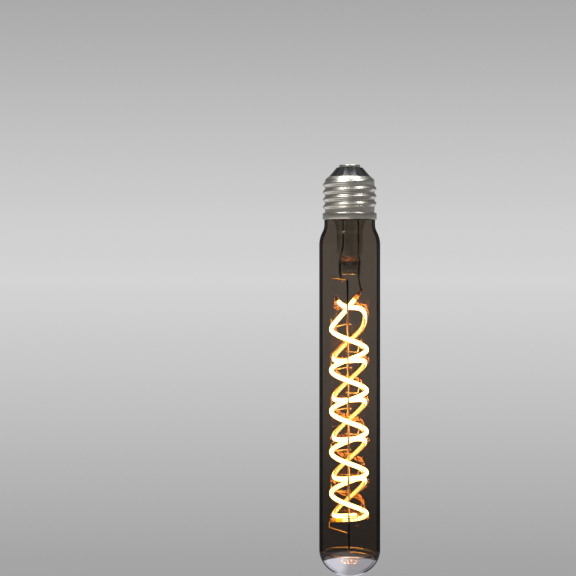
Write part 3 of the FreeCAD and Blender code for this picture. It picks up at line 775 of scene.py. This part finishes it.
behind = Vector((outer_x, far, ring_centre.z))
start = on_strip(outer_place, outer_end, outer_strip / 2, link_d, behind)
near = on_strip(outer_place, outer_end, outer_strip, link_d, behind)
link("rod_link", "rod_link_wire", [start, (tail_x, near.y, near.z), (tail_x, tail_front, near.z - tail_drop),
                                   rod_at(near.z - tail_weld_drop) + weld_side])

behind = Vector((outer_x, far, rod_top.z))
start = on_strip(inner_place, inner_start, -inner_strip / 2, link_d, behind)
end = on_strip(outer_place, outer_start, weld_in - outer_strip, link_d, behind)
link("upper_inner_link", "inner_top_link", [start, (upper_left, upper_back, start.z - upper_drop),
                                            (upper_right, upper_back, end.z - upper_drop), end])

front = Vector((outer_x, -far, ring_centre.z))
start = on_strip(inner_place, inner_end, inner_strip / 2, link_d, front)
weld = rod_at(start.z - lower_weld_drop) + weld_side
link("lower_inner_link", "inner_bottom_link", [start, (lower_right, (start.y + weld.y) / 2, weld.z), weld])


# Glass bulb. Soda glass, blown in a mould, with a shoulder at the neck and a low dome at the
# tip. A thin grey-brown film was vapour coated on it down to the dome, which stayed clear.

bulb_r = 15.0
bulb_wall = 0.9
bulb_drop = 175.7
bulb_around = 144
crown_r = 16.6
knuckle_r = 12.4
knuckle_x = bulb_r - knuckle_r
neck_r = 12.5
neck_low = -2.4
shoulder_r = 13.5
neck_bend = 8.0
shoulder_lean = math.degrees(math.acos(1 - (bulb_r - neck_r) / (shoulder_r + neck_bend)))
side_top = neck_low - (shoulder_r + neck_bend) * math.sin(math.radians(shoulder_lean))
crown_z = crown_r - bulb_drop
side_low = crown_z - math.sqrt((crown_r - knuckle_r) ** 2 - knuckle_x ** 2)
crown_meet = math.degrees(math.atan2(side_low - crown_z, knuckle_x))


def arc(r, z, size, start, end, steps):
    """Points (height, radius) on an arc about a centre, between two angles in degrees."""
    points = []
    for i in range(steps + 1):
        angle = math.radians(start + (end - start) * i / steps)
        points.append((z + size * math.sin(angle), r + size * math.cos(angle)))
    return points


def bulb_side(inset):
    """One face of the bulb's wall, from the neck's end to the tip."""
    points = [(8.4, 11.2 - inset), (5.2, 11.2 - inset), (4.0, 11.55 - inset), (1.8, 12.3 - inset),
              (1.0, neck_r - inset), (neck_low + 0.3, neck_r - inset)]
    points += arc(neck_r + neck_bend, neck_low, neck_bend + inset, 180, 180 + shoulder_lean, 8)
    points += arc(bulb_r - shoulder_r, side_top, shoulder_r - inset, shoulder_lean, 0, 10)[1:]
    straight = 24
    for i in range(1, straight):
        points.append((side_top + (side_low - side_top) * i / straight, bulb_r - inset))
    points += arc(knuckle_x, side_low, knuckle_r - inset, 0, crown_meet, 18)
    points += arc(0, crown_z, crown_r - inset, crown_meet, -90, 16)[1:-1]
    return points + [(crown_z - crown_r + inset, 0)]


inside_points = bulb_side(bulb_wall)[::-1]
bulb_mesh = turned(inside_points + bulb_side(0), bulb_around)

# Smoked glass: the film holds back two thirds of the light on each pass, is a little
# browner than grey, and gets denser downwards. Where one looks along the wall, at the sides,
# it turns black: this is painted shade, which on the film partly stands for its longer path
# there. The hard gloss shows the filaments again, warm partly from their own light and partly
# from an amber colour painted on the gloss seen from inside. Below the film's wavy edge the
# dome is bare and silvery.
film_end = -164.6
film_full = -163.9
film_arch = 18.0
film_ragged = 0.6
thin_down_to = -80.0
dense_from = -160.0
tip_ease = 1.2
limb_from = 0.62
limb_full = 0.78
limb_gloss = 0.08
dome_mirror = (0.5, 0.95)


def bulb_glass(name, filmed, gloss_low, tip):
    """One face of the bulb's wall, with the film if it's filmed. Its gloss at right angles is
    given, and the height in millimetres below which the tip's own tilt isn't taken for a side."""
    made, tree, place = new_finish(name)
    part = axes(tree, place)
    drawn = add_node(tree, "ShaderNodeMapping", inputs={"Vector": place, "Scale": (1.0, 1.0, 0.25)}).outputs[0]
    normal = bumped(tree, noise(tree, drawn, scale=130, detail=1.0), 0.006)
    along = add_node(tree, "ShaderNodeLayerWeight", inputs={"Blend": 0.5}).outputs["Facing"]
    mirror = calc(tree, "MULTIPLY_ADD", calc(tree, "POWER", along, 5.0), limb_gloss, gloss_low)
    # Painted shade: the see-through colour darkens at the sides by view angle, down to the tip.
    limb = eased(tree, along, limb_from, limb_full)
    rim = calc(tree, "MULTIPLY", limb, eased(tree, part["Z"], tip * MM, (tip + tip_ease) * MM))
    seen = mixed(tree, rim, "FFFFFF", "3A3A3A")
    # Painted reflection colour: the gloss of the inside face, and of the outer face seen from within, is tinted
    # amber.
    cast = linear("FFBC55")
    if filmed:
        arched = calc(tree, "MULTIPLY_ADD", calc(tree, "MULTIPLY", part["X"], part["X"]), film_arch, part["Z"])
        edge = noise(tree, place, scale=160, detail=2.0)
        ragged = calc(tree, "MULTIPLY_ADD", edge, film_ragged * MM, arched)
        film = eased(tree, ragged, film_end * MM, film_full * MM)
        dense = mixed(tree, eased(tree, part["Z"], thin_down_to * MM, dense_from * MM), "A0988F", "837B73")
        seen = mixed(tree, film, seen, mixed(tree, rim, dense, "0C0B0A"))
        behind = add_node(tree, "ShaderNodeNewGeometry").outputs["Backfacing"]
        open_side = calc(tree, "SUBTRACT", calc(tree, "SUBTRACT", 1.0, behind), rim, clamp=True)
        strong = calc(tree, "MULTIPLY", open_side, ramped(tree, limb, 0.0, 1.0, *dome_mirror))
        silvery = calc(tree, "MULTIPLY", calc(tree, "SUBTRACT", 1.0, film), strong)
        mirror = calc(tree, "MAXIMUM", mirror, silvery)
        cast = mixed(tree, behind, "F2F3FF", cast)
    through = add_node(tree, "ShaderNodeBsdfTransparent", inputs={"Color": seen})
    gloss = add_node(tree, "ShaderNodeBsdfGlossy", inputs={"Color": cast, "Roughness": 0.01, "Normal": normal})
    shaded = add_node(tree, "ShaderNodeMixShader", inputs={0: mirror, 1: through.outputs[0], 2: gloss.outputs[0]})
    add_node(tree, "ShaderNodeOutputMaterial", inputs={"Surface": shaded.outputs[0]})
    return made


smoked = bulb_glass("soda glass, smoke film outside", filmed=True, gloss_low=0.02, tip=-174.3)
bare = bulb_glass("soda glass, bare inside", filmed=False, gloss_low=0.043, tip=-173.3)
bulb = put("smoked_bulb", bulb_mesh, ["glass_bulb"], [smoked, bare], crease=180)
for face in bulb.data.polygons:
    face.material_index = 1 if face.index < (len(inside_points) - 1) * bulb_around else 0


# Driver. A round board in the cap turns the mains into the filaments' steady current. Its
# parts are soldered on it, and two thin wires join it to the shell and the centre contact.

speckle = 0.08


def speckled(name, light, dark, scale, roughness, depth=0.02):
    """A finish whose two close shades come and go at a scale, with a slight relief."""
    made, tree, place = new_finish(name)
    gloss = (roughness - speckle, roughness + speckle)
    grain, shade, dull = two_shades(tree, place, light, dark, scale, detail=4.0, gloss=gloss)
    opaque(tree, {"Base Color": shade, "Roughness": dull, "Normal": bumped(tree, grain, depth)})
    return made


def finish_node(name, material):
    """Gives a CAD node that stays its finish."""
    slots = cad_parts[name].data.materials
    slots.clear()
    slots.append(material)


finish_node("driver_board", speckled("glass epoxy board, green mask", "2E6B45", "245638", 900, 0.4))
epoxy = speckled("moulded black epoxy", "26272A", "1B1C1E", 2500, 0.55)
for name in ("rectifier", "driver_chip", "chip_resistor_1", "chip_resistor_2"):
    finish_node(name, epoxy)
finish_node("capacitor", speckled("capacitor sleeve, dark", "24252C", "1B1C22", 600, 0.45, depth=0.005))
finish_node("fuse_resistor", speckled("resistor cement, grey green", "8FA89A", "7A9486", 1800, 0.7, depth=0.04))
for name in ("contact_wire", "shell_wire"):
    finish_node(name, tinned)


# Basing cement. A ring of resin and marble flour that fills the gap between the bulb's neck
# and the shell. It was baked hard, and holds the bulb in the cap.

finish_node("basing_cement", speckled("basing cement, baked", "D9D2C0", "BDB49E", 1400, 0.85, depth=0.12))


# Screw shell. Brass sheet 0.3 mm thick, drawn to a cup, with the thread rolled into it, then
# nickel plated. The rim slips over the bulb's neck.

rim_r = 13.3
rim_height = 3.2
root_r = 12.2
shell_wall = 0.3
shell_top_z = 21.2
shell_top_r = 10.3
first_row = 3.45
last_row = 19.2
row = 0.2

wall_rows = []
z = first_row
while z < last_row:
    wall_rows.append(z)
    z += row
outside = [(0.0, 13.1), (0.06, 13.24), (0.2, rim_r), (2.85, rim_r), (3.08, 13.2), (rim_height, 12.95),
           (rim_height, 12.45), (3.3, 12.25)]
outside += [(z, root_r) for z in wall_rows]
outside += [(19.4, 12.15), (19.75, 11.95), (20.2, 11.5), (20.9, 10.65), (shell_top_z, shell_top_r)]
inside = [(shell_top_z, shell_top_r - 0.25), (20.75, 10.4), (19.95, 11.3), (19.5, 11.75)]
inside += [(z, root_r - shell_wall) for z in wall_rows[::-1]]
inside += [(3.05, 11.95), (2.9, 12.3), (2.88, 12.8), (2.7, 13.0), (0.15, 13.0)]
shell_mesh = turned(outside + inside, around=160, closed=True)

thread_tree, given = new_tree("rolled thread", {"Shell": "Geometry", "Depth": "Float", "Pitch": "Float",
                                                "Start": "Float", "End": "Float", "Crest": "Float",
                                                "Foot": "Float", "Run Out": "Float", "Metal": "Material"},
                              "Threaded")
spot = add_node(thread_tree, "GeometryNodeInputPosition").outputs[0]
part = axes(thread_tree, spot)
turn = calc(thread_tree, "DIVIDE", calc(thread_tree, "ARCTAN2", part["Y"], part["X"]), 2 * math.pi)
climb = calc(thread_tree, "DIVIDE", calc(thread_tree, "SUBTRACT", part["Z"], given["Start"]), given["Pitch"])
phase = calc(thread_tree, "SUBTRACT", climb, turn)
off = calc(thread_tree, "SUBTRACT", phase, calc(thread_tree, "ROUND", phase))
off = calc(thread_tree, "MULTIPLY", off, given["Pitch"])
crest_z = calc(thread_tree, "SUBTRACT", part["Z"], off)
run_in = calc(thread_tree, "SUBTRACT", crest_z, given["Start"])
run_out = calc(thread_tree, "SUBTRACT", given["End"], crest_z)
fade = eased(thread_tree, calc(thread_tree, "MINIMUM", run_in, run_out), 0.0, given["Run Out"])
ridge = eased(thread_tree, calc(thread_tree, "ABSOLUTE", off), given["Crest"], given["Foot"], given["Depth"], 0.0)
lift = calc(thread_tree, "MULTIPLY", ridge, fade)
level = add_node(thread_tree, "ShaderNodeVectorMath", {"operation": "MULTIPLY"}, {0: spot, 1: (1, 1, 0)})
outwards = add_node(thread_tree, "ShaderNodeVectorMath", {"operation": "NORMALIZE"}, {0: level.outputs[0]})
push = add_node(thread_tree, "ShaderNodeVectorMath", {"operation": "SCALE"},
                {0: outwards.outputs[0], "Scale": lift})
rolled = add_node(thread_tree, "GeometryNodeSetPosition",
                  inputs={"Geometry": given["Shell"], "Offset": push.outputs[0]})
end_tree(thread_tree, rolled.outputs[0], given["Metal"])

# Brass with bright nickel plate: pale and slightly warm, with fine rolling lines round the
# cap 0.15 mm apart, a cloudy sheen, and duller spots where it was handled.
plated, tree, place = new_finish("nickel plated brass, rolled")
squeezed = add_node(tree, "ShaderNodeMapping", inputs={"Vector": place, "Scale": (0.06, 0.06, 1.0)}).outputs[0]
lines = bumped(tree, noise(tree, squeezed, scale=6600, detail=2.0), 0.006)
shade, dull = two_shades(tree, place, "DAD5CB", "B9B1A3", scale=180, detail=5.0, gloss=(0.16, 0.4))[1:]
opaque(tree, {"Base Color": shade, "Metallic": 1.0, "Roughness": dull, "Normal": lines})

thread_sizes = {"Depth": 0.95, "Pitch": 3.629, "Start": 4.4, "End": 18.916, "Crest": 0.2, "Foot": 1.55,
                "Run Out": 1.2}
thread_sizes = {label: size * MM for label, size in thread_sizes.items()}
threaded = grown(added("shell", shell_mesh), thread_tree, {"Metal": plated, **thread_sizes})
put("threaded_shell", threaded, ["screw_shell"], [plated])


# Cap insulator. Black glass, pressed while soft into the top of the shell: a low cone with a
# hole in its middle for the contact's pin.

cone = [(19.3, 1.3), (19.3, 11.75), (19.8, 11.2), (20.9, 10.25), (21.2, 10.2), (21.32, 10.12), (21.5, 9.9),
        (25.4, 6.55), (25.56, 6.4), (25.6, 6.2), (25.6, 1.3)]
vitreous = speckled("black glass, pressed", "17181B", "0C0D0F", 500, 0.16, depth=0.03)
put("black_glass_insulator", turned(cone, around=96, closed=True), ["cap_insulator"], [vitreous],
    crease=35)


# Centre contact. A flat-headed pin of the same plated brass through the glass, with a low
# mound of solder where the wire comes out of its middle.

head = [(21.0, 0), (21.0, 1.1), (21.2, 1.3), (25.6, 1.3), (25.6, 4.95), (25.68, 5.15), (25.85, 5.2),
        (26.55, 5.2), (26.8, 5.08), (26.94, 4.8), (26.97, 4.4), (26.95, 2.2), (26.86, 1.7), (26.88, 1.4),
        (26.97, 0.9), (27.0, 0.4), (27.0, 0)]
put("contact_head", turned(head, around=72), ["centre_contact"], [plated], crease=40)


# Studio. A pale floor that curves up into a round wall, soft lamps at the sides and above,
# and a level camera with a long lens. The lamp hangs clear of the floor.

floor_z = -450.0
cove_r = 2600
cove_bend = 600
cove = [(floor_z, 0), (floor_z, 800), (floor_z, 1600)]
cove += arc(cove_r - cove_bend, floor_z + cove_bend, cove_bend, -90, 0, 16)[1:]
cove += [(1200, cove_r), (2600, cove_r)]
cove_mesh = turned(cove, around=96)
cove_mesh.flip_normals()
cove_mesh.shade_smooth()
added("studio_cove", cove_mesh)

# Pale paper, with grey that comes and goes up the wall as in the photo. The wall gives that
# light itself, and the flat floor is lit and keeps the lamp's shadow. In the bulb's gloss
# the floor is a painted reflection: dim, with painted white patches at the left and far behind.
sweep_low, sweep_high = -0.45, 0.37
floor_from, floor_full = -0.42, -0.445
left_from, left_full, left_least = -0.01, -0.1, 0.1
far_from, far_full = 0.3, 0.7
wall_from, wall_full = -0.447, -0.425
paper, tree, place = new_finish("pale studio paper")
across, away, height = axes(tree, place)
sweep = add_node(tree, "ShaderNodeValToRGB", inputs={"Fac": ramped(tree, height, sweep_low, sweep_high)})
shades = [(0.0, "A0A0A0"), (0.08, "A5A5A5"), (0.18, "B2B2B2"), (0.36, "C6C6C6"), (0.52, "D4D4D4"),
          (0.62, "CFCFCF"), (0.75, "C4C4C4"), (0.9, "B4B4B4"), (1.0, "AAAAAA")]
ramp = sweep.color_ramp
while len(ramp.elements) < len(shades):
    ramp.elements.new(1.0)
for element, (at, shade) in zip(ramp.elements, shades):
    element.position = at
    element.color = linear(shade)
grey = sweep.outputs["Color"]
matt = add_node(tree, "ShaderNodeBsdfDiffuse", inputs={"Color": grey})
ray = add_node(tree, "ShaderNodeLightPath").outputs
gloss = calc(tree, "MULTIPLY", ramped(tree, height, floor_from, floor_full), ray["Is Glossy Ray"])
# Painted reflection: patches that only the gloss sees, white at the left and far behind.
painted_reflection_patches = calc(tree, "MAXIMUM", ramped(tree, across, left_from, left_full, low=left_least),
               ramped(tree, away, far_from, far_full))
painted_reflection_patches = calc(tree, "MULTIPLY", gloss, painted_reflection_patches)
shade = mixed(tree, painted_reflection_patches, mixed(tree, gloss, grey, "88888C"), "F4F4FA")
lit = add_node(tree, "ShaderNodeEmission", inputs={"Color": shade, "Strength": 1.0})
seen = calc(tree, "MAXIMUM", ray["Is Camera Ray"], ray["Is Transmission Ray"])
seen = calc(tree, "MULTIPLY", seen, ramped(tree, height, wall_from, wall_full))
seen = calc(tree, "MAXIMUM", seen, gloss)
shaded = add_node(tree, "ShaderNodeMixShader", inputs={0: seen, 1: matt.outputs[0], 2: lit.outputs[0]})
add_node(tree, "ShaderNodeOutputMaterial", inputs={"Surface": shaded.outputs[0]})
cove_mesh.materials.append(paper)

world = bpy.data.worlds.new("soft room light")
bpy.context.scene.world = world
world.use_nodes = True
world.node_tree.nodes["Background"].inputs["Color"].default_value = linear("E8ECF0")
world.node_tree.nodes["Background"].inputs["Strength"].default_value = 0.6


bulb_middle = Vector((0, 0, -0.075))


def softbox(name, place, width, height, watts):
    """A soft rectangular lamp that faces the middle of the bulb."""
    lamp = bpy.data.lights.new(name, "AREA")
    lamp.shape = "RECTANGLE"
    lamp.size = width
    lamp.size_y = height
    lamp.energy = watts
    holder = added(name, lamp)
    holder.location = place
    holder.rotation_euler = (bulb_middle - Vector(place)).to_track_quat("-Z", "Y").to_euler()


softbox("left_softbox", (-0.7, -0.55, 1.6), 0.9, 0.7, 19)
softbox("right_softbox", (0.8, -0.35, 1.6), 0.6, 0.7, 11)
softbox("top_softbox", (0.0, 0.5, 1.6), 1.0, 0.8, 14)

lens = bpy.data.cameras.new("camera")
lens.sensor_width = 36.0
distance = 1.4
view_height = 0.2837
lens.lens = lens.sensor_width * distance / view_height
lens.clip_start = 0.05
lens.clip_end = 20.0
camera = added("camera", lens)
camera.location = (-0.0304, -distance, -0.0337)
camera.rotation_euler = (math.radians(90), 0, 0)
bpy.context.scene.camera = camera
bpy.context.scene.view_settings.view_transform = "Standard"
